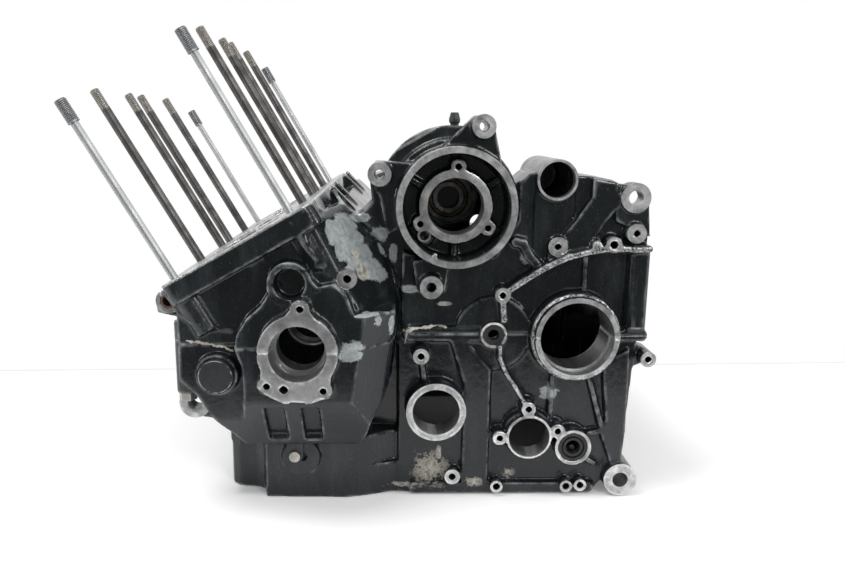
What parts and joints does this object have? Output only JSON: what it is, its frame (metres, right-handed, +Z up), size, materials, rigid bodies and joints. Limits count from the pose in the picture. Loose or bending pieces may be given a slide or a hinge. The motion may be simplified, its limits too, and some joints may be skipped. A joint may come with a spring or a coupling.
{
  "type": "engine crankcase",
  "caption": "Bare black crankcase of an across-the-frame motorcycle engine in two halves, with cylinder studs, generator drum, gearbox bores and engine mounts.",
  "frame": {"origin": "middle of the crank axis, on the plane where the two halves meet", "axes": "+X to the rear of the engine, +Y along the crank axis to the engine's right side, +Z up"},
  "size_m": [0.457, 0.406, 0.3784],
  "materials": {
    "black_casting": "painted, worn",
    "black_casting_lower": "painted, worn",
    "bright_steel": "zinc plated",
    "dark_steel": "oiled black",
    "shell_metal": "satin",
    "bolt_steel": "zinc, dull",
    "bearing_steel": "polished, oily",
    "cage_brass": "dull",
    "rusty_steel": "rusty",
    "black_plug": "painted",
    "seal_rubber": "matt"
  },
  "bodies": {
    "root": {"upper_case": "black_casting", "lower_case": "black_casting_lower", "end_studs": "bright_steel", "inner_studs": "dark_steel", "upper_main_shells": "shell_metal", "lower_main_shells": "shell_metal", "case_dowels": "bright_steel", "main_bolts": "bolt_steel", "end_main_bolts": "bolt_steel", "main_washers": "bolt_steel", "gearbox_bolts": "bolt_steel", "front_bolts": "bolt_steel", "shaft_bearing_outer": "bearing_steel", "shaft_bearing_inner": "bearing_steel", "shaft_bearing_balls": "bearing_steel", "shaft_bearing_cage": "cage_brass", "drum_dowel": "bright_steel", "vent_nipple": "black_plug", "front_mount_sleeves": "rusty_steel", "crank_cap_plug": "black_plug", "gallery_plug": "black_plug", "plug_keeper": "black_plug", "keeper_bolt": "bright_steel", "shift_shaft_seal": "seal_rubber", "clutch_rod_seal": "seal_rubber", "output_half_ring": "bright_steel", "end_gallery_plugs": "bolt_steel"}
  },
  "joints": []
}
